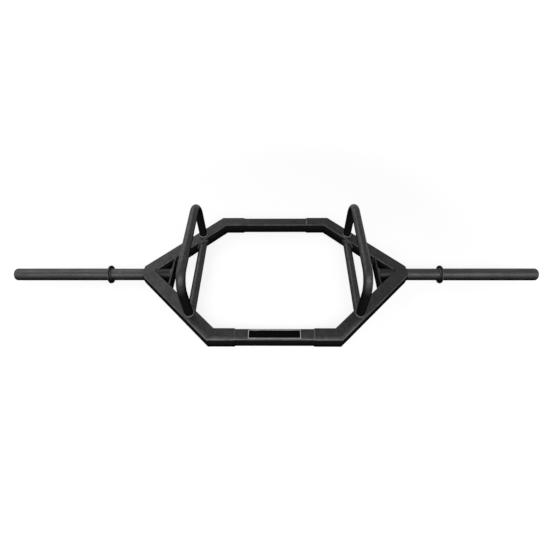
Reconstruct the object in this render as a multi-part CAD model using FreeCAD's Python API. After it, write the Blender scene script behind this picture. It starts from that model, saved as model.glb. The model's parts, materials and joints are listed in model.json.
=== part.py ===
import FreeCAD, Part
import math
import os

# Hex trap bar: a welded hexagon of square tube with a plate sleeve at each end,
# two handles at the frame's height and two raised ones.
# X runs along the sleeves, the front is -Y and +Z is up.
# The origin is under the middle of the bar, level with the lowest point of the stop collars.

# Driving dimensions, in millimetres
OVERALL_LENGTH = 2170.0
FRAME_DEPTH = 650.0
CROSS_SIDE_LENGTH = 490.0

TUBE_SIDE = 52.0
TUBE_WALL = 2.0
TUBE_CORNER = 5.0
NEST_CLEARANCE = 0.3
NEST_DEPTH = 40.0
STUB_LENGTH = 98.0

SLEEVE_DIAMETER = 50.0
SLEEVE_WALL = 4.0
SHANK_MARGIN = 1.5
SHANK_EXPOSED = 140.5
COLLAR_DIAMETER = 75.0
COLLAR_WIDTH = 6.5
COLLAR_ROUNDING = 1.5
COLLAR_CLEARANCE = 0.05
CAP_HEAD = 10.0
CAP_ROUNDING = 6.0
CAP_PLUG_LENGTH = 22.0
CAP_CLEARANCE = 0.1

APEX_CUT = 27.0
BRACE_SETBACK = 71.2
BRACE_THICKNESS = 6.0
GUSSET_THICKNESS = 4.0
GUSSET_INSET = 12.0
COPE_CLEARANCE = 0.2
CROWN_SLOT = 16.0

HANDLE_SPACING = 645.0
HANDLE_DIAMETER = 33.7
HANDLE_WALL = 3.0
GRIP_RISE = 214.0
GRIP_BEND = 66.0

PLATE_LENGTH = 190.0
PLATE_WIDTH = 36.0
PLATE_THICKNESS = 1.2
PLATE_CORNER = 3.0
RIM_WIDTH = 2.0
RIM_HEIGHT = 0.5

VENT_HOLE = 10.0
VENT_HEAD = 15.0
VENT_HEAD_HEIGHT = 2.0
VENT_STEM = 8.0
VENT_CLEARANCE = 0.1
VENT_PLACE_SHARE = 0.25

HANDLE_WELD = 6.0
COLLAR_WELD = 3.5
BRACE_WELD = 6.0
SLEEVE_WELD = 5.0
SEAM_WELD = 3.5
WELD_TOE = 0.4
SEAM_MARGIN = 0.5

# Angles, in degrees: the arms leave the cross sides at half a right angle
QUARTER_TURN = 90.0
ARM_TURN = 45.0

# Sizes that follow from the ones above
MIDDLE_HEIGHT = COLLAR_DIAMETER / 2
HALF_TUBE = TUBE_SIDE / 2
CROSS_TUBE_SIDE = TUBE_SIDE - 2 * (TUBE_WALL + NEST_CLEARANCE)
CROSS_TUBE_CORNER = TUBE_CORNER - NEST_CLEARANCE
CROSS_LINE = FRAME_DEPTH / 2 - HALF_TUBE
OUTER_CORNER = CROSS_SIDE_LENGTH / 2
CORNER_MIDDLE = OUTER_CORNER - HALF_TUBE * math.tan(math.radians(ARM_TURN / 2))
STUB_END = OUTER_CORNER - STUB_LENGTH
APEX_OUTER = OUTER_CORNER + FRAME_DEPTH / 2 / math.tan(math.radians(ARM_TURN))
ARM_OFFSET = HALF_TUBE / math.sin(math.radians(ARM_TURN))
APEX_MIDDLE = APEX_OUTER - ARM_OFFSET
APEX_INNER = APEX_MIDDLE - ARM_OFFSET
APEX_END = APEX_OUTER - APEX_CUT
HANDLE_X = HANDLE_SPACING / 2
HANDLE_RADIUS = HANDLE_DIAMETER / 2
LEG_Y = (APEX_MIDDLE - HANDLE_X) * math.tan(math.radians(ARM_TURN))
SLEEVE_RADIUS = SLEEVE_DIAMETER / 2
SHANK_RADIUS = HALF_TUBE - SHANK_MARGIN
BORE_RADIUS = SLEEVE_RADIUS - SLEEVE_WALL
SLEEVE_END = OVERALL_LENGTH / 2 - CAP_HEAD
COLLAR_START = APEX_END + SHANK_EXPOSED
COLLAR_FACE = COLLAR_START + COLLAR_WIDTH
BRACE_MIDDLE = APEX_INNER - BRACE_SETBACK
BRACE_OUTER = BRACE_MIDDLE + BRACE_THICKNESS / 2
BRACE_INNER = BRACE_MIDDLE - BRACE_THICKNESS / 2
GUSSET_APEX = APEX_OUTER - GUSSET_INSET / math.sin(math.radians(ARM_TURN))
GUSSET_END = APEX_END - GUSSET_INSET

ORIGIN = FreeCAD.Vector(0, 0, 0)
MIDDLE = FreeCAD.Vector(0, 0, MIDDLE_HEIGHT)
X_AXIS = FreeCAD.Vector(1, 0, 0)
Y_AXIS = FreeCAD.Vector(0, 1, 0)
Z_AXIS = FreeCAD.Vector(0, 0, 1)


def at(x, y, z):
    """A point, with its height counted from the frame's middle plane."""
    return FreeCAD.Vector(x, y, MIDDLE_HEIGHT + z)


def heading(degrees):
    """A level unit vector, turned from +X towards +Y."""
    return FreeCAD.Vector(math.cos(math.radians(degrees)), math.sin(math.radians(degrees)), 0)


def rounded_square(side, corner):
    """A closed outline in the YZ plane, centred on the X axis."""
    half = side / 2
    flat = half - corner
    reach = flat + corner * math.cos(math.radians(ARM_TURN))
    edges = []
    for quarter in range(4):
        turn = FreeCAD.Rotation(X_AXIS, quarter * QUARTER_TURN)
        low = turn.multVec(FreeCAD.Vector(0, half, -flat))
        high = turn.multVec(FreeCAD.Vector(0, half, flat))
        bend = turn.multVec(FreeCAD.Vector(0, reach, reach))
        across = turn.multVec(FreeCAD.Vector(0, flat, half))
        edges.append(Part.LineSegment(low, high).toShape())
        edges.append(Part.Arc(high, bend, across).toShape())
    return Part.Wire(edges)


def square_bar(side, corner, start, degrees, length):
    """A solid square bar with rounded long edges, from start along a level heading."""
    bar = Part.Face(rounded_square(side, corner)).extrude(X_AXIS * length)
    bar.Placement = FreeCAD.Placement(start, FreeCAD.Rotation(Z_AXIS, degrees))
    return bar


def square_tube(side, corner, start, degrees, length):
    """The same bar, hollowed to the tube's wall."""
    outer = square_bar(side, corner, start, degrees, length)
    inner = square_bar(side - 2 * TUBE_WALL, corner - TUBE_WALL, start, degrees, length)
    return outer.cut(inner)


def without_beyond(shape, point, normal):
    """The shape with all that lies past a plane taken away."""
    block = Part.makeBox(OVERALL_LENGTH, OVERALL_LENGTH, OVERALL_LENGTH)
    block.translate(FreeCAD.Vector(-OVERALL_LENGTH / 2, -OVERALL_LENGTH / 2, 0))
    block.Placement = FreeCAD.Placement(point, FreeCAD.Rotation(Z_AXIS, normal)).multiply(block.Placement)
    return shape.cut(block)


def rod(radius, start, direction, length):
    """A plain round rod."""
    return Part.makeCylinder(radius, length, start, direction)


def mirrored_x(shape):
    """The same piece on the other end of the bar."""
    return shape.mirror(ORIGIN, X_AXIS)


def mirrored_y(shape):
    """The same piece on the rear side."""
    return shape.mirror(ORIGIN, Y_AXIS)


def all_quarters(shape):
    """One piece in each quarter of the frame, from the front right one."""
    front = [shape, mirrored_x(shape)]
    return front + [mirrored_y(piece) for piece in front]


def cross_tube():
    """The front cross tube, which reaches into both corner stubs."""
    reach = STUB_END + NEST_DEPTH
    return square_tube(CROSS_TUBE_SIDE, CROSS_TUBE_CORNER, at(-reach, -CROSS_LINE, 0), 0, 2 * reach)


def mitre():
    """A point on the front right corner's mitre, and the way across it."""
    return at(OUTER_CORNER, -FRAME_DEPTH / 2, 0), heading(ARM_TURN / 2)


def corner_stub():
    """The front right corner stub, square at its inner end and mitred at the corner."""
    point, across = mitre()
    start = at(STUB_END, -CROSS_LINE, 0)
    tube = square_tube(TUBE_SIDE, TUBE_CORNER, start, 0, STUB_LENGTH)
    return without_beyond(tube, point, across)


def arm_bar():
    """The front right arm as a solid bar, from before its mitre to past the apex."""
    start = at(APEX_MIDDLE, 0, 0) - heading(ARM_TURN) * FRAME_DEPTH
    return start, FRAME_DEPTH + TUBE_SIDE


def arm():
    """The front right arm, mitred at the corner, cut blunt at the apex and coped round the shank."""
    point, across = mitre()
    start, length = arm_bar()
    tube = square_tube(TUBE_SIDE, TUBE_CORNER, start, ARM_TURN, length)
    tube = without_beyond(tube, point, across * -1)
    tube = without_beyond(tube, at(APEX_END, 0, 0), X_AXIS)
    tube = without_beyond(tube, at(0, -CROWN_SLOT / 2, 0), Y_AXIS)
    return tube.cut(rod(SHANK_RADIUS + COPE_CLEARANCE, MIDDLE, X_AXIS, OVERALL_LENGTH))


def vented_arm():
    """The rear right arm, with the hole that its vent plug closes."""
    return mirrored_y(arm()).cut(rod(VENT_HOLE / 2, vent_place(), Z_AXIS * -1, TUBE_WALL + VENT_CLEARANCE))


def brace_plate():
    """The right brace plate, a flat bar on edge with its ends cut to the arms."""
    plate = Part.makeBox(BRACE_THICKNESS, FRAME_DEPTH, TUBE_SIDE)
    plate.translate(at(BRACE_INNER, -FRAME_DEPTH / 2, -HALF_TUBE))
    for degrees in (ARM_TURN, -ARM_TURN):
        plate = without_beyond(plate, at(APEX_INNER, 0, 0), heading(degrees))
    return plate


def gusset_plate():
    """The right gusset plate, lapped under the arms so that it closes the apex from below."""
    plate = Part.makeBox(GUSSET_END - BRACE_MIDDLE, FRAME_DEPTH, GUSSET_THICKNESS)
    plate.translate(at(BRACE_MIDDLE, -FRAME_DEPTH / 2, -HALF_TUBE - GUSSET_THICKNESS))
    for degrees in (ARM_TURN, -ARM_TURN):
        plate = without_beyond(plate, at(GUSSET_APEX, 0, 0), heading(degrees))
    return plate


def sleeve():
    """The right sleeve: a shank from the brace plate, and the loading length past its shoulder."""
    shank = rod(SHANK_RADIUS, at(BRACE_OUTER, 0, 0), X_AXIS, COLLAR_FACE - BRACE_OUTER)
    load = rod(SLEEVE_RADIUS, at(COLLAR_FACE, 0, 0), X_AXIS, SLEEVE_END - COLLAR_FACE)
    bore = rod(BORE_RADIUS, at(BRACE_OUTER, 0, 0), X_AXIS, SLEEVE_END - BRACE_OUTER)
    return shank.fuse(load).removeSplitter().cut(bore)


def uprights(shape):
    """The straight edges that stand along Z."""
    boxes = [(edge, edge.BoundBox) for edge in shape.Edges]
    return [edge for edge, box in boxes if box.ZLength > box.XLength + box.YLength]


def rims(shape, radius):
    """The round edges of that radius."""
    circles = [edge for edge in shape.Edges if isinstance(edge.Curve, Part.Circle)]
    return [edge for edge in circles if math.isclose(edge.Curve.Radius, radius)]


def stop_collar():
    """The right stop collar, pushed up to the sleeve's shoulder from the frame's side."""
    start = at(COLLAR_START, 0, 0)
    disc = rod(COLLAR_DIAMETER / 2, start, X_AXIS, COLLAR_WIDTH)
    disc = disc.makeFillet(COLLAR_ROUNDING, rims(disc, COLLAR_DIAMETER / 2))
    return disc.cut(rod(SHANK_RADIUS + COLLAR_CLEARANCE, start, X_AXIS, COLLAR_WIDTH))


def sleeve_cap():
    """The right sleeve's end cap, with its plug inside the bore."""
    head = rod(SLEEVE_RADIUS, at(SLEEVE_END, 0, 0), X_AXIS, CAP_HEAD)
    middle = SLEEVE_END + CAP_HEAD / 2
    outer = [edge for edge in rims(head, SLEEVE_RADIUS) if edge.CenterOfMass.x > middle]
    head = head.makeFillet(CAP_ROUNDING, outer)
    plug = rod(BORE_RADIUS - CAP_CLEARANCE, at(SLEEVE_END, 0, 0), X_AXIS * -1, CAP_PLUG_LENGTH)
    return head.fuse(plug)


def low_handle():
    """The right low handle, between the arms' inner faces."""
    start = at(HANDLE_X, -FRAME_DEPTH / 2, 0)
    tube = rod(HANDLE_RADIUS, start, Y_AXIS, FRAME_DEPTH)
    tube = tube.cut(rod(HANDLE_RADIUS - HANDLE_WALL, start, Y_AXIS, FRAME_DEPTH))
    for degrees in (ARM_TURN, -ARM_TURN):
        tube = without_beyond(tube, at(APEX_INNER, 0, 0), heading(degrees))
    return tube


def grip_path():
    """The raised handle's centre line: up a leg, over the grip and down again."""
    lean = GRIP_BEND * (1 - math.cos(math.radians(ARM_TURN)))
    points = {}
    for side in (-1, 1):
        points[side] = [
            at(HANDLE_X, side * LEG_Y, HALF_TUBE),
            at(HANDLE_X, side * LEG_Y, GRIP_RISE - GRIP_BEND),
            at(HANDLE_X, side * (LEG_Y - lean), GRIP_RISE - lean),
            at(HANDLE_X, side * (LEG_Y - GRIP_BEND), GRIP_RISE),
        ]
    front = points[-1]
    rear = points[1]
    return Part.Wire([
        Part.LineSegment(front[0], front[1]).toShape(),
        Part.Arc(front[1], front[2], front[3]).toShape(),
        Part.LineSegment(front[3], rear[3]).toShape(),
        Part.Arc(rear[3], rear[2], rear[1]).toShape(),
        Part.LineSegment(rear[1], rear[0]).toShape(),
    ])


def raised_handle():
    """The right raised handle, one bent tube standing on the arms."""
    path = grip_path()
    foot = at(HANDLE_X, -LEG_Y, HALF_TUBE)
    skins = []
    for radius in (HANDLE_RADIUS, HANDLE_RADIUS - HANDLE_WALL):
        ring = Part.Wire(Part.Circle(foot, Z_AXIS, radius).toShape())
        skins.append(path.makePipeShell([ring], True, False))
    return skins[0].cut(skins[1])


def plate_slab(inset, height):
    """A level slab with the name plate's outline, drawn in by an inset."""
    length = PLATE_LENGTH - 2 * inset
    width = PLATE_WIDTH - 2 * inset
    slab = Part.makeBox(length, width, height)
    slab.translate(at(-length / 2, -CROSS_LINE - width / 2, CROSS_TUBE_SIDE / 2))
    return slab.makeFillet(PLATE_CORNER - inset, uprights(slab))


def name_plate():
    """The blank name plate on the front cross tube, with a raised rim."""
    plate = plate_slab(0, PLATE_THICKNESS + RIM_HEIGHT)
    field = plate_slab(RIM_WIDTH, RIM_HEIGHT)
    field.translate(Z_AXIS * PLATE_THICKNESS)
    return plate.cut(field)


def vent_place():
    """The middle of the vent hole, on the rear right arm's top between the leg's weld and the corner."""
    head = VENT_HEAD / 2
    nearest = HANDLE_RADIUS + HANDLE_WELD + head
    corner = (HANDLE_X - CORNER_MIDDLE) / math.cos(math.radians(ARM_TURN))
    farthest = corner - head / math.cos(math.radians(ARM_TURN / 2))
    from_leg = nearest + (farthest - nearest) * VENT_PLACE_SHARE
    return at(HANDLE_X, LEG_Y, HALF_TUBE) + heading(QUARTER_TURN + ARM_TURN) * from_leg


def vent_plug():
    """The plug in the rear right arm's vent hole: a low domed head on a stem."""
    place = vent_place()
    head = rod(VENT_HEAD / 2, place, Z_AXIS, VENT_HEAD_HEIGHT)
    middle = place.z + VENT_HEAD_HEIGHT / 2
    upper = [edge for edge in rims(head, VENT_HEAD / 2) if edge.CenterOfMass.z > middle]
    head = head.makeFillet(VENT_HEAD_HEIGHT - VENT_CLEARANCE, upper)
    stem = rod(VENT_HOLE / 2 - VENT_CLEARANCE, place, Z_AXIS * -1, VENT_STEM)
    return head.fuse(stem)


def ellipse(centre, normal, axis, radius):
    """The outline where a plane cuts a round bar of that radius."""
    across = normal.cross(axis)
    across.normalize()
    along = across.cross(normal)
    major = along * (radius / abs(axis.dot(normal)))
    return Part.Wire(Part.Ellipse(centre + major, centre + across * radius, centre).toShape())


def fillet_collar(face_point, normal, axis, radius, leg):
    """A fillet weld round a bar that meets a sloping face, before the bar is taken out of it."""
    raised = face_point + axis * (leg / axis.dot(normal))
    base = ellipse(face_point, normal, axis, radius + leg)
    toe = ellipse(raised, normal, axis, radius + WELD_TOE)
    return Part.makeLoft([base, toe], True, True)


def low_handle_weld():
    """The fillet where the right low handle meets the front arm."""
    face_point = at(HANDLE_X, HANDLE_X - APEX_INNER, 0)
    inward = heading(QUARTER_TURN + ARM_TURN)
    bead = fillet_collar(face_point, inward, Y_AXIS, HANDLE_RADIUS, HANDLE_WELD)
    return bead.cut(rod(HANDLE_RADIUS, at(HANDLE_X, -FRAME_DEPTH / 2, 0), Y_AXIS, FRAME_DEPTH))


def raised_handle_weld():
    """The ring of weld round the right raised handle's front foot."""
    foot = at(HANDLE_X, -LEG_Y, HALF_TUBE)
    cone = Part.makeCone(HANDLE_RADIUS + HANDLE_WELD, HANDLE_RADIUS + WELD_TOE, HANDLE_WELD, foot, Z_AXIS)
    skirt = rod(HANDLE_RADIUS + HANDLE_WELD, foot, Z_AXIS * -1, TUBE_CORNER)
    start, length = arm_bar()
    bead = cone.fuse(skirt).cut(square_bar(TUBE_SIDE, TUBE_CORNER, start, ARM_TURN, length))
    return bead.cut(rod(HANDLE_RADIUS, foot, Z_AXIS, HANDLE_WELD))


def collar_weld():
    """The ring of weld on the frame's side of the right collar."""
    start = at(COLLAR_START, 0, 0)
    inward = X_AXIS * -1
    cone = Part.makeCone(SHANK_RADIUS + COLLAR_WELD, SHANK_RADIUS + WELD_TOE, COLLAR_WELD, start, inward)
    return cone.cut(rod(SHANK_RADIUS, start, inward, COLLAR_WELD))


def seam_weld():
    """The weld round the front cross tube at the right stub's end."""
    face = rounded_square(TUBE_SIDE - SEAM_MARGIN, TUBE_CORNER)
    toe = rounded_square(CROSS_TUBE_SIDE + WELD_TOE, CROSS_TUBE_CORNER)
    toe.translate(X_AXIS * -SEAM_WELD)
    bead = Part.makeLoft([face, toe], True, True)
    bead.translate(at(STUB_END, -CROSS_LINE, 0))
    start = at(0, -CROSS_LINE, 0)
    return bead.cut(square_bar(CROSS_TUBE_SIDE, CROSS_TUBE_CORNER, start, 0, STUB_END))


def brace_end_weld():
    """The upright weld between the right brace plate and the front arm."""
    flat = HALF_TUBE - TUBE_CORNER
    corner = at(BRACE_INNER, BRACE_INNER - APEX_INNER, -flat)
    corners = [corner, corner + Y_AXIS * BRACE_WELD, corner - heading(ARM_TURN) * BRACE_WELD, corner]
    return Part.Face(Part.makePolygon(corners)).extrude(Z_AXIS * (2 * flat))


def gusset_weld():
    """The fillet along the right gusset plate's front edge, under the front arm."""
    corner = at(BRACE_MIDDLE, BRACE_MIDDLE - GUSSET_APEX, -HALF_TUBE)
    outward = heading(-ARM_TURN) * GUSSET_THICKNESS
    corners = [corner, corner + outward, corner - Z_AXIS * GUSSET_THICKNESS, corner]
    length = (GUSSET_END - BRACE_MIDDLE) / math.cos(math.radians(ARM_TURN))
    return Part.Face(Part.makePolygon(corners)).extrude(heading(ARM_TURN) * length)


def front_flank(shape):
    """The part of a bead on the sleeve's front flank, between the frame's faces."""
    shape = without_beyond(shape, at(0, -CROWN_SLOT / 2, 0), Y_AXIS)
    shape = without_beyond(shape, at(0, 0, HALF_TUBE), Z_AXIS)
    return without_beyond(shape, at(0, 0, -HALF_TUBE), Z_AXIS * -1)


def tail_weld():
    """The weld between the right brace plate and the front flank of the sleeve's tail."""
    start = at(BRACE_OUTER, 0, 0)
    cone = Part.makeCone(SHANK_RADIUS + BRACE_WELD, SHANK_RADIUS + WELD_TOE, BRACE_WELD, start, X_AXIS)
    return front_flank(cone.cut(rod(SHANK_RADIUS, start, X_AXIS, BRACE_WELD)))


def flank_weld():
    """The weld between the right sleeve's front flank and the front arm's blunt end."""
    start = at(APEX_END - SLEEVE_WELD, 0, 0)
    root = SHANK_RADIUS + 2 * SLEEVE_WELD
    cone = Part.makeCone(root, SHANK_RADIUS + WELD_TOE, 2 * SLEEVE_WELD, start, X_AXIS)
    bead = cone.cut(rod(SHANK_RADIUS, start, X_AXIS, 2 * SLEEVE_WELD))
    arm_start, length = arm_bar()
    block = square_bar(TUBE_SIDE, TUBE_CORNER, arm_start, ARM_TURN, length)
    return front_flank(bead.cut(without_beyond(block, at(APEX_END, 0, 0), X_AXIS)))


def crown_weld():
    """The weld along the right sleeve's crown, ground flush in the slot between the two arms."""
    start = at(APEX_INNER, -CROWN_SLOT / 2, 0)
    block = Part.makeBox(APEX_END - APEX_INNER, CROWN_SLOT, HALF_TUBE, start)
    return block.cut(rod(SHANK_RADIUS, MIDDLE, X_AXIS, OVERALL_LENGTH))


def underside(shape):
    """The same bead on the frame's lower face."""
    return shape.mirror(MIDDLE, Z_AXIS)


def both_ends(shapes):
    """The pieces of the right end, with those of the left end."""
    return shapes + [mirrored_x(shape) for shape in shapes]


def save(name, shapes):
    """Writes one node: a piece, or a group of like pieces."""
    shape = shapes[0] if len(shapes) == 1 else Part.makeCompound(shapes)
    shape.exportStep("parts/" + name + ".step")


def main():
    os.makedirs("parts", exist_ok=True)

    save("front_cross_tube", [cross_tube()])
    save("rear_cross_tube", [mirrored_y(cross_tube())])
    corners = ("front_right", "front_left", "rear_right", "rear_left")
    for corner, piece in zip(corners, all_quarters(corner_stub())):
        save(corner + "_corner_stub", [piece])
    for corner, piece in zip(corners, all_quarters(arm())):
        save(corner + "_arm", [vented_arm() if corner == "rear_right" else piece])

    pieces = {
        "brace_plate": brace_plate(),
        "gusset_plate": gusset_plate(),
        "sleeve": sleeve(),
        "stop_collar": stop_collar(),
        "sleeve_cap": sleeve_cap(),
        "low_handle": low_handle(),
        "raised_handle": raised_handle(),
    }
    for name, piece in pieces.items():
        save("right_" + name, [piece])
        save("left_" + name, [mirrored_x(piece)])

    save("name_plate", [name_plate()])
    save("vent_plug", [vent_plug()])

    save("cross_tube_welds", all_quarters(seam_weld()))
    save("low_handle_welds", all_quarters(low_handle_weld()))
    save("raised_handle_welds", all_quarters(raised_handle_weld()))
    save("collar_welds", both_ends([collar_weld()]))
    brace = [brace_end_weld(), tail_weld()]
    save("brace_welds", both_ends(brace + [mirrored_y(bead) for bead in brace]))
    save("gusset_welds", all_quarters(gusset_weld()))
    apex = [flank_weld(), mirrored_y(flank_weld()), crown_weld(), underside(crown_weld())]
    save("sleeve_welds", both_ends(apex))


main()
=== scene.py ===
# %% [markdown]
# A hex trap bar
#
# The real bar is a hexagon of square steel tube, welded up and powder coated in black, with a
# round sleeve at each end for the weight plates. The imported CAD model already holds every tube
# in its right place, so this lesson loads it as a fixed frame and adds what a CAD model lacks:
# the light, the finishes, and the weld beads with their ripples.

import json
import math

import bmesh
import bpy
from mathutils import Matrix, Vector

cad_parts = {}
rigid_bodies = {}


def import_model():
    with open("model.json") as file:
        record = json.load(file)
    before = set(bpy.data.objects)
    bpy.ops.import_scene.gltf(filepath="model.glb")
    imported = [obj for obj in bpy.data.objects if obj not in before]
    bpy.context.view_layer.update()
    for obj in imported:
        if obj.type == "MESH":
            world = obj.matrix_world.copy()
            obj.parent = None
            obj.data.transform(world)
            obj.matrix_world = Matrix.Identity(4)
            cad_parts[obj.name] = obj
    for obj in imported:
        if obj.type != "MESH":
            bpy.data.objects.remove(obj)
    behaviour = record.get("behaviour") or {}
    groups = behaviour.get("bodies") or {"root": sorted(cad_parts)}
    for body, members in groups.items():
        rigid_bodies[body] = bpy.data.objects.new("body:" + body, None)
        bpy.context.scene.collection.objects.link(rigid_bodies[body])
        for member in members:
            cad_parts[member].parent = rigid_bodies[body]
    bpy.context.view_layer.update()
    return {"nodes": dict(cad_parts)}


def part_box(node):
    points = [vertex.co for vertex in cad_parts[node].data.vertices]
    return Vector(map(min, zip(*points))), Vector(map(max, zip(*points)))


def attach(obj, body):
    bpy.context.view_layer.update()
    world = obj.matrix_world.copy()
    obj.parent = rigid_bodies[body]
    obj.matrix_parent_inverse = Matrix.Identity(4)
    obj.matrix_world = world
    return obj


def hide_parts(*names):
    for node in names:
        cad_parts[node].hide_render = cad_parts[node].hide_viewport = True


# The startup scene's own objects go first.
for leftover in list(bpy.data.objects):
    bpy.data.objects.remove(leftover)
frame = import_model()
nodes = frame["nodes"]
print("loaded", len(nodes), "nodes")

# %% [markdown]
# The camera
#
# The photograph was taken from in front and above with a wide lens, so the near side of the
# hexagon looks larger than the far side. A long lens from further back would flatten that. The
# place and the lens below were worked out from the frame's corners in the photograph.

# %% Camera
# The place is in metres, the turns are in degrees, and lens and sensor are in millimetres.
CAMERA_PLACE = (0.0126, -0.9647, 1.2136)
CAMERA_DOWN = 50.73
CAMERA_YAW = 0.459
CAMERA_LENS = 23.771
SENSOR_WIDTH = 36.0

camera_data = bpy.data.cameras.new("photo_camera")
camera_data.sensor_fit = "HORIZONTAL"
camera_data.sensor_width = SENSOR_WIDTH
camera_data.lens = CAMERA_LENS
camera = bpy.data.objects.new("photo_camera", camera_data)
bpy.context.scene.collection.objects.link(camera)
camera.location = CAMERA_PLACE
camera.rotation_mode = "YXZ"
camera.rotation_euler = (math.radians(90 - CAMERA_DOWN), math.radians(CAMERA_YAW), 0)
bpy.context.scene.camera = camera
print("camera lens", camera_data.lens, "mm")

# %% [markdown]
# Node helpers
#
# The floor, the world and every finish are built from nodes. Each node could be made and linked
# line by line, but the same lines would come back dozens of times. These short functions make a
# node, set or link its inputs, and hand back its output.

# %% Node helpers


def grey(value):
    """A neutral colour."""
    return (value, value, value, 1)


def feed(tree, socket, value):
    """Sets a socket to a number or colour, or links it to another socket."""
    if isinstance(value, bpy.types.NodeSocket):
        tree.links.new(value, socket)
    else:
        socket.default_value = value


def math_node(tree, operation, *values):
    """A Math node on numbers or sockets."""
    node = tree.nodes.new("ShaderNodeMath")
    node.operation = operation
    for socket, value in zip(node.inputs, values):
        feed(tree, socket, value)
    return node.outputs[0]


def ramp(tree, value, low, high, start=0.0, end=1.0):
    """A smooth step from start to end as the value goes from low to high."""
    node = tree.nodes.new("ShaderNodeMapRange")
    node.interpolation_type = "SMOOTHSTEP"
    for socket, number in zip(node.inputs, (value, low, high, start, end)):
        feed(tree, socket, number)
    return node.outputs["Result"]


def object_place(tree):
    """The place on the piece, in metres."""
    return tree.nodes.new("ShaderNodeTexCoord").outputs["Object"]


def seen_directly(tree):
    """A value of 1 for camera, glossy and transmission rays, and 0 for the rest."""
    path = tree.nodes.new("ShaderNodeLightPath")
    seen = path.outputs["Is Camera Ray"]
    for ray in ("Is Glossy Ray", "Is Transmission Ray"):
        seen = math_node(tree, "MAXIMUM", seen, path.outputs[ray])
    return seen


# %% [markdown]
# The floor
#
# The bar lies on a white studio floor. A floor that is white only because of strong lamps would
# also bleach the black coat, so the floor is a plain grey that adds its own white for the rays
# that see it directly or in a gloss. The grey part still takes the bar's soft shadow. Further out
# the lamps fade, so the floor adds more white there.

# %% Floor
FLOOR_HALF = 40.0
FLOOR_GREY = 0.16
WHITE_NEAR = 0.825
WHITE_FAR = 0.99
NEAR_TO_FAR = (0.8, 1.8)


def floor_material():
    """Grey paper that adds white for the rays that see it directly, and more of it further out."""
    material = bpy.data.materials.new("studio_floor")
    material.use_nodes = True
    tree = material.node_tree
    tree.nodes.clear()
    paper = tree.nodes.new("ShaderNodeBsdfDiffuse")
    paper.inputs["Color"].default_value = grey(FLOOR_GREY)
    distance = tree.nodes.new("ShaderNodeVectorMath")
    distance.operation = "LENGTH"
    tree.links.new(object_place(tree), distance.inputs[0])
    added = ramp(tree, distance.outputs["Value"], *NEAR_TO_FAR, WHITE_NEAR, WHITE_FAR)
    strength = math_node(tree, "MULTIPLY", seen_directly(tree), added)
    white = tree.nodes.new("ShaderNodeEmission")
    tree.links.new(strength, white.inputs["Strength"])
    both = tree.nodes.new("ShaderNodeAddShader")
    tree.links.new(paper.outputs[0], both.inputs[0])
    tree.links.new(white.outputs[0], both.inputs[1])
    output = tree.nodes.new("ShaderNodeOutputMaterial")
    tree.links.new(both.outputs[0], output.inputs["Surface"])
    return material


floor_mesh = bpy.data.meshes.new("floor")
bm = bmesh.new()
bmesh.ops.create_grid(bm, x_segments=1, y_segments=1, size=FLOOR_HALF)
bm.to_mesh(floor_mesh)
bm.free()
floor = bpy.data.objects.new("floor", floor_mesh)
bpy.context.scene.collection.objects.link(floor)
floor_mesh.materials.append(floor_material())
print("floor", 2 * FLOOR_HALF, "m wide")

# %% [markdown]
# The room
#
# A white room that shone on the bar from all sides would leave it without shading. So the world is
# white, as the floor is, for the rays that see it directly or in a gloss. For all the rest it is
# only a faint fill. Colours go to the picture through the Standard view, as they are.

# %% World
WORLD_FILL = 0.05

bpy.context.scene.view_settings.view_transform = "Standard"
world = bpy.data.worlds.new("studio")
bpy.context.scene.world = world
world.use_nodes = True
room = world.node_tree.nodes["Background"]
room.inputs["Color"].default_value = grey(1.0)
brightness = world.node_tree.nodes.new("ShaderNodeMapRange")
brightness.inputs["To Min"].default_value = WORLD_FILL
brightness.inputs["To Max"].default_value = 1.0
world.node_tree.links.new(seen_directly(world.node_tree), brightness.inputs["Value"])
world.node_tree.links.new(brightness.outputs["Result"], room.inputs["Strength"])
print("world fill", WORLD_FILL)

# %% [markdown]
# The lamps
#
# A black coat shows little but the reflections of lamps, so their size and place draw its shapes.
# A bulb would leave a hot spot. A long strip in front lays an even line of light along the sleeves
# and over the handles' bends, another at the rear left brightens that side as in the photograph,
# and a weak, wide sun fills in. Together they light a grey card to about 1.2 times its own tone.

# %% Lamps
SUN_LEVEL = 0.1
SUN_WIDTH = 54.0
SUN_PLACE = (0, 0, 3)
SUN_TOWARDS = (-0.14, 0.5, -1.0)
# Place and size in metres, and power in watts.
STRIPS = {
    "front_strip": ((0.1, -1.75, 1.8), (6.0, 1.3), 138),
    "left_strip": ((-1.65, 1.4, 1.95), (3.2, 1.1), 42),
}


def add_lamp(name, kind, place, towards):
    """A lamp that shines along a direction."""
    data = bpy.data.lights.new(name, kind)
    lamp = bpy.data.objects.new(name, data)
    bpy.context.scene.collection.objects.link(lamp)
    lamp.location = place
    lamp.rotation_euler = Vector(towards).to_track_quat("-Z", "Y").to_euler()
    return data


ceiling = add_lamp("ceiling_light", "SUN", SUN_PLACE, SUN_TOWARDS)
ceiling.energy = SUN_LEVEL
ceiling.angle = math.radians(SUN_WIDTH)
for name, (place, size, watts) in STRIPS.items():
    strip = add_lamp(name, "AREA", place, -Vector(place))
    strip.shape = "RECTANGLE"
    strip.size, strip.size_y = size
    strip.energy = watts
print("lamps:", ceiling.name, *STRIPS)

# %% [markdown]
# Effects that several finishes share
#
# Grain, rubbed edges and scuffs come back on many pieces. Each could be built again in every
# finish, or painted as an image, which would need a file and would repeat. Here each effect is a
# node group, built once from noise on Object coordinates, so it has a true size in millimetres on
# every piece. The helpers start a group and make the nodes that most groups need.

# %% Group helpers


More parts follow.
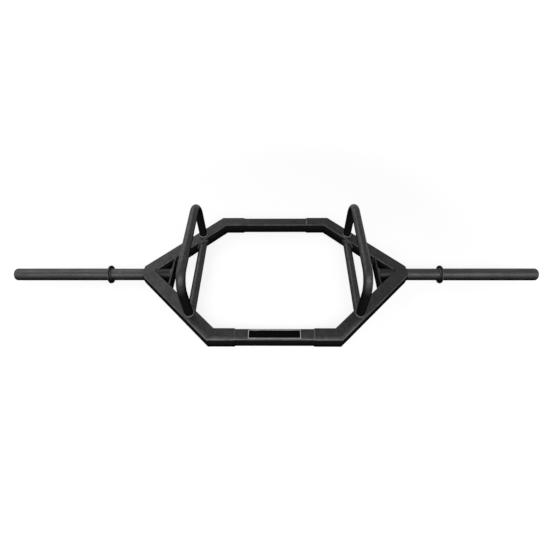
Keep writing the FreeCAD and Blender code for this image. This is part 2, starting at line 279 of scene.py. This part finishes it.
def start_group(name, inputs, outputs):
    """An empty shader node group with named number sockets."""
    tree = bpy.data.node_groups.new(name, "ShaderNodeTree")
    for title, value in inputs.items():
        socket = tree.interface.new_socket(title, in_out="INPUT", socket_type="NodeSocketFloat")
        socket.default_value = value
    for title in outputs:
        tree.interface.new_socket(title, in_out="OUTPUT", socket_type="NodeSocketFloat")
    given = tree.nodes.new("NodeGroupInput").outputs
    result = tree.nodes.new("NodeGroupOutput").inputs
    return tree, given, result


def noise(tree, place, scale, detail=2.0):
    """Noise with that many features to a metre."""
    node = tree.nodes.new("ShaderNodeTexNoise")
    feed(tree, node.inputs["Vector"], place)
    feed(tree, node.inputs["Scale"], scale)
    feed(tree, node.inputs["Detail"], detail)
    return node.outputs["Fac"]


def blotches(tree, scale, limits, least, detail):
    """Soft blotches with that many to a metre, between a least value and 1."""
    return ramp(tree, noise(tree, object_place(tree), scale, detail), *limits, least, 1.0)


def stretched_place(tree, along):
    """The place on the piece with its X scaled, so that a pattern is drawn out along X."""
    scales = tree.nodes.new("ShaderNodeCombineXYZ")
    for socket, value in zip(scales.inputs, (along, 1.0, 1.0)):
        feed(tree, socket, value)
    mapping = tree.nodes.new("ShaderNodeMapping")
    tree.links.new(object_place(tree), mapping.inputs["Vector"])
    tree.links.new(scales.outputs[0], mapping.inputs["Scale"])
    return mapping.outputs[0]


def split(tree, vector):
    """The X, Y and Z of a vector."""
    node = tree.nodes.new("ShaderNodeSeparateXYZ")
    tree.links.new(vector, node.inputs[0])
    return node.outputs


def upward(tree):
    """How far the surface faces up: 1 on top, 0 on a wall, -1 below."""
    return split(tree, tree.nodes.new("ShaderNodeNewGeometry").outputs["Normal"])["Z"]


# %% [markdown]
# Powder grain
#
# A powder coat is sprayed on as dust and baked, so it sets with fine grains and soft clouds of
# slightly different gloss. One noise could make either, but not both, so a fine and a coarse one
# are added. On the sleeves the grain is drawn out lengthwise, where plates slide over it.

# %% Powder grain
CLOUDS_PER_METRE = 85.0
GRAIN_SHARE = 0.45
TONE_LIMITS = (0.3, 0.7)


def powder_grain():
    """Fine grains and soft clouds, drawn out along X where Along is under 1."""
    inputs = {"Grains per metre": 620.0, "Along": 1.0}
    tree, given, result = start_group("powder_grain", inputs, ["Tone", "Height"])
    place = stretched_place(tree, given["Along"])
    grain = noise(tree, place, given["Grains per metre"])
    clouds = noise(tree, place, CLOUDS_PER_METRE, detail=4.0)
    fine = math_node(tree, "MULTIPLY", grain, GRAIN_SHARE)
    coarse = math_node(tree, "MULTIPLY", clouds, 1 - GRAIN_SHARE)
    both = math_node(tree, "ADD", fine, coarse)
    tree.links.new(ramp(tree, both, *TONE_LIMITS), result["Tone"])
    tree.links.new(grain, result["Height"])
    return tree


POWDER_GRAIN = powder_grain()
print("group", POWDER_GRAIN.name)

# %% [markdown]
# Sheen and painted light on the tops
#
# What faces up gets a sheen and, on most coats, a paler tone, which is painted light, while walls
# and undersides stay matt and black. Painting the tops by hand would take a map for every tube. The
# surface's own normal says which way it faces, so one mask serves flat tubes and round ones.

# %% Sheen and painted light on the tops
TOP_PATCHES_PER_METRE = 24.0
TOP_PATCH_LIMITS = (0.2, 0.7)
TOP_PATCH_LEAST = 0.8


def sheen_and_painted_top_light():
    """A mask for the sheen and the painted paler tone on surfaces that face up."""
    tree, given, result = start_group("sheen_and_painted_top_light", {"From": 0.4, "To": 0.92}, ["Mask"])
    facing = ramp(tree, upward(tree), given["From"], given["To"])
    top_patches = blotches(tree, TOP_PATCHES_PER_METRE, TOP_PATCH_LIMITS, TOP_PATCH_LEAST, detail=5.0)
    tree.links.new(math_node(tree, "MULTIPLY", facing, top_patches), result["Mask"])
    return tree


SHEEN_AND_PAINTED_TOP_LIGHT = sheen_and_painted_top_light()
print("group", SHEEN_AND_PAINTED_TOP_LIGHT.name)

# %% [markdown]
# Rubbed edges with a painted highlight
#
# The rounded long edges of the square tubes get knocked and rubbed first, and their paler tone is
# also a painted highlight. Blender's Bevel node could find an edge, but slowly and in Cycles alone.
# On these tubes an edge is simply where the normal is half way between a wall and a top: there the
# upward share times the rest is largest.

# %% Rubbed edges with a painted highlight
EDGE_LIMITS = (0.06, 0.24)
RUBBED_LIMITS = (0.38, 0.62)
RUBBED_LEAST = 0.45


def edge_wear_and_highlight():
    """A patchy mask for the rounded edges between tops and walls, for wear and a painted highlight."""
    tree, given, result = start_group("edge_wear_and_highlight", {"Patches per metre": 16.0}, ["Mask"])
    facing = upward(tree)
    share = math_node(tree, "MULTIPLY", facing, facing)
    rest = math_node(tree, "SUBTRACT", 1.0, share)
    edge = ramp(tree, math_node(tree, "MULTIPLY", share, rest), *EDGE_LIMITS)
    patch_mask = blotches(tree, given["Patches per metre"], RUBBED_LIMITS, RUBBED_LEAST, detail=6.0)
    tree.links.new(math_node(tree, "MULTIPLY", edge, patch_mask), result["Mask"])
    return tree


EDGE_WEAR_AND_HIGHLIGHT = edge_wear_and_highlight()
print("group", EDGE_WEAR_AND_HIGHLIGHT.name)

# %% [markdown]
# Lengthwise scuffs
#
# Weight plates slide along the sleeves and leave fine lengthwise scuffs. Single scratches could be
# drawn as curves, but there are hundreds. Noise that is stretched along X gives streaks of the
# right direction, and a second one breaks them up.

# %% Lengthwise scuffs
STREAK_ALONG = 0.035
STREAK_LIMITS = (0.55, 0.72)
BREAKS_PER_METRE = 18.0
BREAK_LIMITS = (0.42, 0.62)


def long_scuffs():
    """A mask of thin streaks along X."""
    tree, given, result = start_group("long_scuffs", {"Streaks per metre": 420.0}, ["Mask"])
    place = stretched_place(tree, STREAK_ALONG)
    streaks = ramp(tree, noise(tree, place, given["Streaks per metre"], detail=3.0), *STREAK_LIMITS)
    broken = blotches(tree, BREAKS_PER_METRE, BREAK_LIMITS, 0.0, detail=3.0)
    tree.links.new(math_node(tree, "MULTIPLY", streaks, broken), result["Mask"])
    return tree


LONG_SCUFFS = long_scuffs()
print("group", LONG_SCUFFS.name)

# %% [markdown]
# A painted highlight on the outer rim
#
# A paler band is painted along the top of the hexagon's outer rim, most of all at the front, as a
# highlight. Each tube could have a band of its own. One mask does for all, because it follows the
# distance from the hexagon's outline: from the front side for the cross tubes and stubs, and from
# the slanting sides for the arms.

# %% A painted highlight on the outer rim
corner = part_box("front_right_corner_stub")
HEXAGON_DEPTH = -corner[0].y
HEXAGON_REACH = corner[1].x + HEXAGON_DEPTH
RIM_BAND = (0.004, 0.020)
RIM_FRONT = (-0.28, -0.17)
RIM_FACING = (0.3, 0.8)
RIM_LIMITS = (0.3, 0.7)
RIM_LEAST = 0.35


def outer_rim_highlight():
    """A patchy mask along the top of the hexagon's outer rim, from the front to the middle, for a
    painted highlight.
    """
    tree, given, result = start_group("outer_rim_highlight", {"Patches per metre": 34.0}, ["Mask"])
    place = split(tree, object_place(tree))
    out_x = math_node(tree, "ABSOLUTE", place["X"])
    out_y = math_node(tree, "ABSOLUTE", place["Y"])
    to_front = math_node(tree, "SUBTRACT", HEXAGON_DEPTH, out_y)
    to_slant = math_node(tree, "SUBTRACT", HEXAGON_REACH, math_node(tree, "ADD", out_x, out_y))
    to_arm = math_node(tree, "MULTIPLY", to_slant, math.sqrt(0.5))
    mask = ramp(tree, math_node(tree, "MINIMUM", to_front, to_arm), *RIM_BAND, 1.0, 0.0)
    front = ramp(tree, place["Y"], *RIM_FRONT, 1.0, 0.0)
    top = ramp(tree, upward(tree), *RIM_FACING)
    patch_mask = blotches(tree, given["Patches per metre"], RIM_LIMITS, RIM_LEAST, detail=5.0)
    for limit in (front, top, patch_mask):
        mask = math_node(tree, "MULTIPLY", mask, limit)
    tree.links.new(mask, result["Mask"])
    return tree


OUTER_RIM_HIGHLIGHT = outer_rim_highlight()
print("group", OUTER_RIM_HIGHLIGHT.name, "hexagon depth", round(HEXAGON_DEPTH, 4))

# %% [markdown]
# Coats
#
# The whole bar is black, but its parts were coated and worn differently. A single black would look
# like rubber all over. So every coat is a Principled shader with a tone for its walls and one for
# its tops, and the groups say where each shows, how much gloss lies on it and how grainy it is.
# Where a top tone is paler than its walls', it is painted light.

# %% Parts of a finish
MILLIMETRE = 0.001
GRAIN_HEIGHT = 0.3 * MILLIMETRE


def principled(name):
    """A new material with its node tree and its Principled shader."""
    material = bpy.data.materials.new(name)
    material.use_nodes = True
    return material, material.node_tree, material.node_tree.nodes["Principled BSDF"]


def use_group(tree, group, **values):
    """Places a node group and sets its inputs."""
    node = tree.nodes.new("ShaderNodeGroup")
    node.node_tree = group
    for title, value in values.items():
        node.inputs[title.replace("_", " ")].default_value = value
    return node.outputs


def blend(tree, factor, first, second):
    """A colour between two colours."""
    node = tree.nodes.new("ShaderNodeMix")
    node.data_type = "RGBA"
    feed(tree, node.inputs["Factor"], factor)
    feed(tree, node.inputs["A"], first)
    feed(tree, node.inputs["B"], second)
    return node.outputs["Result"]


def mottled(tree, tone, value, share):
    """A grey that goes a share darker and lighter with the tone of the grain."""
    return blend(tree, tone, grey(value * (1 - share)), grey(value * (1 + share)))


def add_relief(tree, shader, height, strength):
    """Gives a shader the bumps of the grain."""
    relief = tree.nodes.new("ShaderNodeBump")
    relief.inputs["Strength"].default_value = strength
    relief.inputs["Distance"].default_value = GRAIN_HEIGHT
    tree.links.new(height, relief.inputs["Height"])
    tree.links.new(relief.outputs["Normal"], shader.inputs["Normal"])


# %% Coat material
WALL_MOTTLE = 0.25
FOOT_SHADE_SHARE = 0.3
TAIL_GLOSS = 0.5


def coat(name, wall, top, gloss, roughness, grains, reach=(0.3, 0.9), bump=0.35, along=1.0,
         mottle=0.22, rub=0.060, worn_and_highlit=0.0, scuffs=0.0, rim=0.0, fade=None, tail=None):
    """A coat with tones for its matt walls and its tops, a sheen on its tops and marks on its edges.

    Where the top tone is paler than the walls', it is painted light. reach says how far up a surface
    has to face for the sheen and the top tone to start and to be full. The strengths of the pale marks
    are given for the edges, which are worn and also a painted highlight, for the lengthwise scuffs,
    and for the painted highlight along the rim. fade gives the heights between which the painted shade
    at the walls' feet gives way, and tail the distances from the middle between which a sleeve's full
    gloss sets in.
    """
    material, tree, shader = principled(name)
    shader.inputs["Specular IOR Level"].default_value = 0.0
    shader.inputs["Coat Roughness"].default_value = roughness
    grain = use_group(tree, POWDER_GRAIN, Grains_per_metre=grains, Along=along)
    sheen_and_top_light = use_group(tree, SHEEN_AND_PAINTED_TOP_LIGHT, From=reach[0], To=reach[1])["Mask"]

    walls = mottled(tree, grain["Tone"], wall, WALL_MOTTLE)
    # Painted shade: the walls go darker towards the floor, down to a share of their tone.
    if fade:
        height = split(tree, object_place(tree))["Z"]
        walls = blend(tree, ramp(tree, height, *fade), grey(wall * FOOT_SHADE_SHARE), walls)
    # Painted light: where the top tone is paler than the walls', what faces up is painted lighter.
    colour = blend(tree, sheen_and_top_light, walls, mottled(tree, grain["Tone"], top, mottle))
    # The pale marks: worn edges that also stand for a painted highlight, lengthwise scuffs from wear,
    # and a painted highlight along the front of the outer rim.
    for group, amount in ((EDGE_WEAR_AND_HIGHLIGHT, worn_and_highlit), (LONG_SCUFFS, scuffs), (OUTER_RIM_HIGHLIGHT, rim)):
        if amount:
            mask = math_node(tree, "MULTIPLY", use_group(tree, group)["Mask"], amount)
            colour = blend(tree, mask, colour, grey(rub))
            sheen_and_top_light = math_node(tree, "ADD", sheen_and_top_light, mask)
    level = ramp(tree, grain["Tone"], 0.0, 1.0, gloss * (1 - mottle), gloss * (1 + mottle))
    shine = math_node(tree, "MULTIPLY", sheen_and_top_light, level)
    if tail:
        sideways = math_node(tree, "ABSOLUTE", split(tree, object_place(tree))["X"])
        outside = ramp(tree, sideways, *tail)
        colour = blend(tree, outside, walls, colour)
        shine = math_node(tree, "MULTIPLY", shine, ramp(tree, outside, 0.0, 1.0, TAIL_GLOSS, 1.0))
    tree.links.new(colour, shader.inputs["Base Color"])
    tree.links.new(shine, shader.inputs["Coat Weight"])
    add_relief(tree, shader, grain["Height"], bump)
    return material


# %% [markdown]
# Bright metal
#
# The name plate's border is bare metal, brushed lengthwise. Plain metal would look like chrome, so
# the scuffs group serves as brushing here: along its streaks the metal is darker and rougher.

# %% Bright metal
BRUSHING_PER_METRE = 1600
METAL_GRAINS = 900
METAL_MOTTLE = 0.1
BRUSHED_SHARE = 0.7
BRUSHED_ROUGHER = 0.15


def bright_metal(name, tone, roughness):
    """Bare metal with fine lengthwise brushing."""
    material, tree, shader = principled(name)
    shader.inputs["Metallic"].default_value = 1.0
    brushing = use_group(tree, LONG_SCUFFS, Streaks_per_metre=BRUSHING_PER_METRE)["Mask"]
    clouds = use_group(tree, POWDER_GRAIN, Grains_per_metre=METAL_GRAINS)["Tone"]
    plain = mottled(tree, clouds, tone, METAL_MOTTLE)
    colour = blend(tree, brushing, plain, grey(tone * BRUSHED_SHARE))
    rough = ramp(tree, brushing, 0.0, 1.0, roughness, roughness + BRUSHED_ROUGHER)
    tree.links.new(colour, shader.inputs["Base Color"])
    tree.links.new(rough, shader.inputs["Roughness"])
    return material


# %% [markdown]
# The finishes
#
# The frame's coat is dull: its walls darken towards the floor, which is painted shade, and its edges
# are worn and painted paler as a highlight, as is a band along the front of its outer rim. The
# handles are smoother and glossier, from hands. The sleeves shine most, because plates polish
# them, except for their tails inside the hexagon, which no plate reaches. The weld beads' backs, like
# the other paler tops, are painted light, and the name plate's field is almost a flat black. One
# table holds all the values, so that two finishes can be compared line by line.

# %% The finishes
# Heights, and distances from the middle, in metres.
# The painted shade on the frame's walls fades out between these heights.
FRAME_FOOT_SHADE = (0.0145, 0.0575)
TAIL_END = (0.525, 0.555)
COATS = {
    "frame_coat": dict(wall=0.0085, top=0.012, gloss=0.43, roughness=0.45, grains=620,
                       worn_and_highlit=0.9, rim=0.7, fade=FRAME_FOOT_SHADE),
    "grip_coat": dict(wall=0.006, top=0.005, gloss=0.64, roughness=0.42, grains=760,
                      reach=(0.05, 0.58), bump=0.2),
    "sleeve_coat": dict(wall=0.007, top=0.013, gloss=0.68, roughness=0.43, grains=500,
                        reach=(0.0, 0.6), bump=0.12, along=0.12, mottle=0.12, scuffs=0.3,
                        tail=TAIL_END),
    "cap_plastic": dict(wall=0.015, top=0.030, gloss=0.50, roughness=0.50, grains=900,
                        reach=(0.05, 0.7)),
    "weld_coat": dict(wall=0.012, top=0.028, gloss=0.60, roughness=0.40, grains=620, bump=0.25,
                      rub=0.065, worn_and_highlit=0.6),
    "plate_metal": dict(wall=0.003, top=0.002, gloss=0.02, roughness=0.30, grains=900, bump=0.1),
}
FINISHES = {name: coat(name, **values) for name, values in COATS.items()}
FINISHES["bright_rim"] = bright_metal("bright_rim", tone=0.42, roughness=0.32)
print("finishes:", ", ".join(FINISHES))

# %% [markdown]
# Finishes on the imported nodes
#
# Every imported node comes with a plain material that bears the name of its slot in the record.
# Naming the nodes one by one would be a long list, so a loop swaps each plain material for the
# finish of the same name.

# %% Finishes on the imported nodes
for node in nodes.values():
    for slot in node.material_slots:
        kind = slot.material.name.split(".")[0]
        slot.material = FINISHES[kind]
print("dressed", len(nodes), "nodes")

# %% [markdown]
# Weld beads
#
# A hand-laid weld is a row of overlapping scales. The CAD beads are plain fillets, which hold the
# right place and size but look machined. A bump map could fake the scales, but not on the
# outline, so the beads are rebuilt as meshes: a small outline is spun round a bar or swept along a
# corner, and the rings of points are then drawn in at each crease between two scales.

# %% Scales of a bead
SCALE_PITCH = 3.4 * MILLIMETRE
STEPS_PER_SCALE = 6
CREASE_DEPTH = 0.26
SCALE_ROUNDNESS = 0.7
UNEVEN = 0.12
UNEVEN_TURN = 12.9


def swell(turns):
    """How full the bead is after that many scales: nearly 1 on a scale's back, less in a crease."""
    back = abs(math.sin(math.pi * turns)) ** SCALE_ROUNDNESS
    uneven = UNEVEN * math.sin(UNEVEN_TURN * math.floor(turns))
    return 1 - CREASE_DEPTH * (1 - back) - UNEVEN * 0.5 + uneven * 0.5


print("fullness on a scale", round(swell(0.5), 3), "and in a crease", round(swell(0.0), 3))

# %% [markdown]
# A ring of weld
#
# Where a round bar meets a plate, the welder goes once round it. A torus would be the quick way,
# but a weld leans against both walls, so a half-round fillet outline is spun instead. It reaches a
# little into both walls, so that no gap shows under the creases.

# %% A ring of weld
SINK = 1.5 * MILLIMETRE
TOE = 0.3 * MILLIMETRE
# Steps over the bead's back, as shares of its leg outwards and upwards.
BEAD_BACK = [(0.80, 0.36), (0.52, 0.66), (0.24, 0.88)]


def ring_bead(bm, radius, leg, place):
    """Adds a ring of weld round an upright bar that stands on z = 0, then moves it to its place."""
    scales = round(2 * math.pi * (radius + leg / 2) / SCALE_PITCH)
    outline = [(radius - SINK, -SINK), (radius + leg, -SINK), (radius + leg, 0)]
    outline += [(radius + leg * out, leg * up) for out, up in BEAD_BACK]
    outline += [(radius + TOE, leg), (radius - SINK, leg)]
    older = set(bm.verts)
    points = [bm.verts.new((across, 0, up)) for across, up in outline]
    lines = [bm.edges.new(pair) for pair in zip(points, points[1:] + points[:1])]
    bmesh.ops.spin(bm, geom=points + lines, cent=(0, 0, 0), axis=(0, 0, 1), dvec=(0, 0, 0),
                   angle=2 * math.pi, steps=scales * STEPS_PER_SCALE, use_merge=True)
    ring = [point for point in bm.verts if point not in older]
    for point in ring:
        across = math.hypot(point.co.x, point.co.y)
        full = swell(math.atan2(point.co.y, point.co.x) / (2 * math.pi) * scales + scales)
        drawn = radius + (across - radius) * full if across > radius else across
        point.co = Vector((point.co.x * drawn / across, point.co.y * drawn / across, point.co.z))
        if point.co.z > 0:
            point.co.z *= full
    bmesh.ops.transform(bm, matrix=place, verts=ring)


# %% [markdown]
# A straight run of weld
#
# In the corners beside the brace plates the weld runs straight. An extrusion would give a smooth
# bar. A spin without an angle, which only steps along, gives the rings of points that the scales
# need. Its two open ends are then filled.

# %% A straight run of weld


def run_bead(bm, outline, length, place):
    """Adds a run of weld along z, with its root corner on the axis, then moves it to its place."""
    steps = round(length / SCALE_PITCH) * STEPS_PER_SCALE
    older = set(bm.verts)
    points = [bm.verts.new((x, y, 0)) for x, y in outline]
    lines = [bm.edges.new(pair) for pair in zip(points, points[1:] + points[:1])]
    bmesh.ops.spin(bm, geom=points + lines, cent=(0, 0, 0), axis=(0, 0, 1),
                   dvec=(0, 0, length / steps), angle=0, steps=steps, use_merge=False)
    run = [point for point in bm.verts if point not in older]
    ends = [edge for edge in bm.edges if edge.is_boundary and edge.verts[0] not in older]
    bmesh.ops.holes_fill(bm, edges=ends, sides=len(outline))
    for point in run:
        full = swell(point.co.z / SCALE_PITCH)
        point.co.x *= full
        point.co.y *= full
    bmesh.ops.transform(bm, matrix=place, verts=run)


# %% [markdown]
# From mesh to piece
#
# A spin can leave doubled points and faces that point inwards, so each mesh is merged and its
# normals are turned out. The piece then rides on the bar's one body and hides the plain CAD node
# that it stands for. Showing both would make them cut through each other.

# %% From mesh to piece
MERGE_DISTANCE = 0.002 * MILLIMETRE


def finish_piece(bm, name, finish, slot, *replaced):
    """Closes a mesh and makes it a piece of the bar in place of the nodes that it replaces."""
    bmesh.ops.remove_doubles(bm, verts=bm.verts, dist=MERGE_DISTANCE)
    bmesh.ops.recalc_face_normals(bm, faces=bm.faces)
    for face in bm.faces:
        face.smooth = True
    mesh = bpy.data.meshes.new(name)
    bm.to_mesh(mesh)
    bm.free()
    mesh.materials.append(finish)
    piece = bpy.data.objects.new(name, mesh)
    bpy.context.scene.collection.objects.link(piece)
    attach(piece, "root")
    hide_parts(*replaced)
    print(name, len(mesh.polygons), "faces")
    return piece


# %% [markdown]
# Places on the frame
#
# Beads sit where tubes meet. Their places could be typed in, but they would then hang in the air
# after a change to the CAD model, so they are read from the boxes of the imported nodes. A box can't
# show the thinner shank of a sleeve, so that radius is written down.

# %% Places on the frame
# The signs of X and Y in the four quarters of the bar.
QUARTERS = [(1, -1), (-1, -1), (1, 1), (-1, 1)]
SHANK_RADIUS = 24.5 * MILLIMETRE

low_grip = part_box("right_low_handle")
HANDLE_X = (low_grip[0].x + low_grip[1].x) / 2
HANDLE_RADIUS = (low_grip[1].x - low_grip[0].x) / 2
INNER_APEX = low_grip[1].y + HANDLE_X - HANDLE_RADIUS
LEG_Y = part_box("right_raised_handle")[1].y - HANDLE_RADIUS
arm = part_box("front_right_arm")
FRAME_TOP = arm[1].z
FRAME_BOTTOM = arm[0].z
FRAME_MIDDLE = (FRAME_TOP + FRAME_BOTTOM) / 2
print("handles at", round(HANDLE_X, 4), "feet at", round(LEG_Y, 4), "inner apex", round(INNER_APEX, 4))

# %% [markdown]
# Beads under the raised handles
#
# The raised handles stand upright on the arms. The weld could follow each foot point by point, but
# the arms are level, so a ring in its plain form fits all four.

# %% Beads under the raised handles
HANDLE_LEG = 5.8 * MILLIMETRE

bm = bmesh.new()
for side, depth in QUARTERS:
    foot = Matrix.Translation((side * HANDLE_X, depth * LEG_Y, FRAME_TOP))
    ring_bead(bm, HANDLE_RADIUS, HANDLE_LEG, foot)
finish_piece(bm, "raised_handle_beads", FINISHES["weld_coat"], "frame_coat", "raised_handle_welds")

# %% [markdown]
# Beads at the low handles
#
# The low handles meet the arms at half a right angle. Turning the ring would set its bore askew to
# the handle. It is sheared instead, which tips its base onto the arm and leaves its bore round.

# %% Beads at the low handles
bm = bmesh.new()
for side, depth in QUARTERS:
    tipped = Matrix((
        (1, 0, 0, side * HANDLE_X),
        (-depth * side, 0, -depth, depth * (INNER_APEX - HANDLE_X)),
        (0, 1, 0, FRAME_MIDDLE),
        (0, 0, 0, 1),
    ))
    ring_bead(bm, HANDLE_RADIUS, HANDLE_LEG, tipped)
finish_piece(bm, "low_handle_beads", FINISHES["weld_coat"], "frame_coat", "low_handle_welds")

# %% [markdown]
# Beads at the stop collars
#
# Plates press against a collar's outer face, so it is welded on the frame's side alone. The same
# ring is laid on its side here, with its axis along the sleeve.

# %% Beads at the stop collars
COLLAR_LEG = 3.3 * MILLIMETRE


def facing_x(x, towards):
    """Turns a ring so that it stands on an upright wall at x and rises along +X or -X."""
    return Matrix(((0, 0, towards, x), (1, 0, 0, 0), (0, 1, 0, FRAME_MIDDLE), (0, 0, 0, 1)))


collar_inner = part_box("right_stop_collar")[0].x
bm = bmesh.new()
for side in (1, -1):
    ring_bead(bm, SHANK_RADIUS, COLLAR_LEG, facing_x(side * collar_inner, -side))
finish_piece(bm, "collar_beads", FINISHES["weld_coat"], "frame_coat", "collar_welds")

# %% [markdown]
# Beads on the brace plates
#
# A brace plate closes each apex. A ring joins the sleeve's tail to it, and an upright run joins
# each of its ends to an arm. A whole ring would stand out above and below the tubes, so it is cut
# level with them, as a grinder would do it.

# %% Rings round the sleeves' tails
TAIL_LEG = 5.8 * MILLIMETRE
CUT_BELOW = 0.1 * MILLIMETRE

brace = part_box("right_brace_plate")
bm = bmesh.new()
for side in (1, -1):
    ring_bead(bm, SHANK_RADIUS, TAIL_LEG, facing_x(side * brace[1].x, side))
for height, up in ((FRAME_TOP, 1), (FRAME_BOTTOM, -1)):
    whole = bm.verts[:] + bm.edges[:] + bm.faces[:]
    cut = bmesh.ops.bisect_plane(bm, geom=whole, plane_co=(0, 0, height - up * CUT_BELOW),
                                 plane_no=(0, 0, up), clear_outer=True)["geom_cut"]
    bmesh.ops.holes_fill(bm, edges=[item for item in cut if isinstance(item, bmesh.types.BMEdge)])
print("tail rings", len(bm.faces), "faces")

# %% Runs at the brace plates' ends
BRACE_LEG = 5.8 * MILLIMETRE
BRACE_SLOPE = BRACE_LEG * math.sqrt(0.5)
RUN_MARGIN = 5.0 * MILLIMETRE
RUN_LENGTH = 2 * (FRAME_TOP - FRAME_MIDDLE) - 2 * RUN_MARGIN
CORNER_OUTLINE = [
    (0, 0),
    (0, BRACE_LEG),
    (-BRACE_SLOPE * 0.42, BRACE_LEG * 0.42),
    (-BRACE_SLOPE * 0.82, -BRACE_SLOPE * 0.2),
    (-BRACE_SLOPE, -BRACE_SLOPE),
]

for side, depth in QUARTERS:
    place = Matrix((
        (side, 0, 0, side * brace[0].x),
        (0, -depth, 0, depth * (INNER_APEX - brace[0].x)),
        (0, 0, 1, FRAME_MIDDLE - RUN_LENGTH / 2),
        (0, 0, 0, 1),
    ))
    run_bead(bm, CORNER_OUTLINE, RUN_LENGTH, place)
finish_piece(bm, "brace_beads", FINISHES["weld_coat"], "frame_coat", "brace_welds")

# %% [markdown]
# Name plate
#
# A thin black plate with a bright border lies on the front cross tube, and its field is bare. A
# flat box with a painted border would have no edge to catch the light, so the border is a raised
# rim: the plate's top is inset and the middle is let down.

# %% Body of the name plate
PLATE_CORNER = 3.0 * MILLIMETRE

low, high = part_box("name_plate")
thickness = high.z - low.z
bm = bmesh.new()
bmesh.ops.create_grid(bm, x_segments=1, y_segments=1, size=0.5)
bmesh.ops.scale(bm, vec=(high.x - low.x, high.y - low.y, 1), verts=bm.verts)
bmesh.ops.bevel(bm, geom=bm.verts[:], offset=PLATE_CORNER, segments=6, profile=0.5,
                affect="VERTICES", material=-1)
raised = bmesh.ops.extrude_face_region(bm, geom=bm.faces[:])["geom"]
lifted = [item for item in raised if isinstance(item, bmesh.types.BMVert)]
bmesh.ops.translate(bm, vec=(0, 0, thickness), verts=lifted)
print("plate", round(thickness / MILLIMETRE, 2), "mm thick")

# %% Rim and field of the name plate
RIM_WIDTH = 1.5 * MILLIMETRE
FIELD_DROP = 0.35 * MILLIMETRE
EDGE_ROUNDING = 0.25 * MILLIMETRE
FLAT_FACE_AREA = 1e-5

field = max(bm.faces, key=lambda face: face.calc_center_median().z)
upper = field.edges[:]
bmesh.ops.inset_individual(bm, faces=[field], thickness=RIM_WIDTH, depth=0)
bmesh.ops.inset_individual(bm, faces=[field], thickness=FIELD_DROP, depth=-FIELD_DROP)
bmesh.ops.bevel(bm, geom=upper, offset=EDGE_ROUNDING, segments=3, profile=0.5, affect="EDGES",
                material=-1)
top_faces = [face for face in bm.faces if face.calc_center_median().z > thickness / 2]
field = max(top_faces, key=lambda face: face.calc_area())
field.material_index = 1
bmesh.ops.translate(bm, vec=((low.x + high.x) / 2, (low.y + high.y) / 2, low.z), verts=bm.verts)
plate = finish_piece(bm, "rimmed_plate", FINISHES["bright_rim"], "plate_metal", "name_plate")
plate.data.materials.append(FINISHES["plate_metal"])
for face in plate.data.polygons:
    face.use_smooth = face.area < FLAT_FACE_AREA
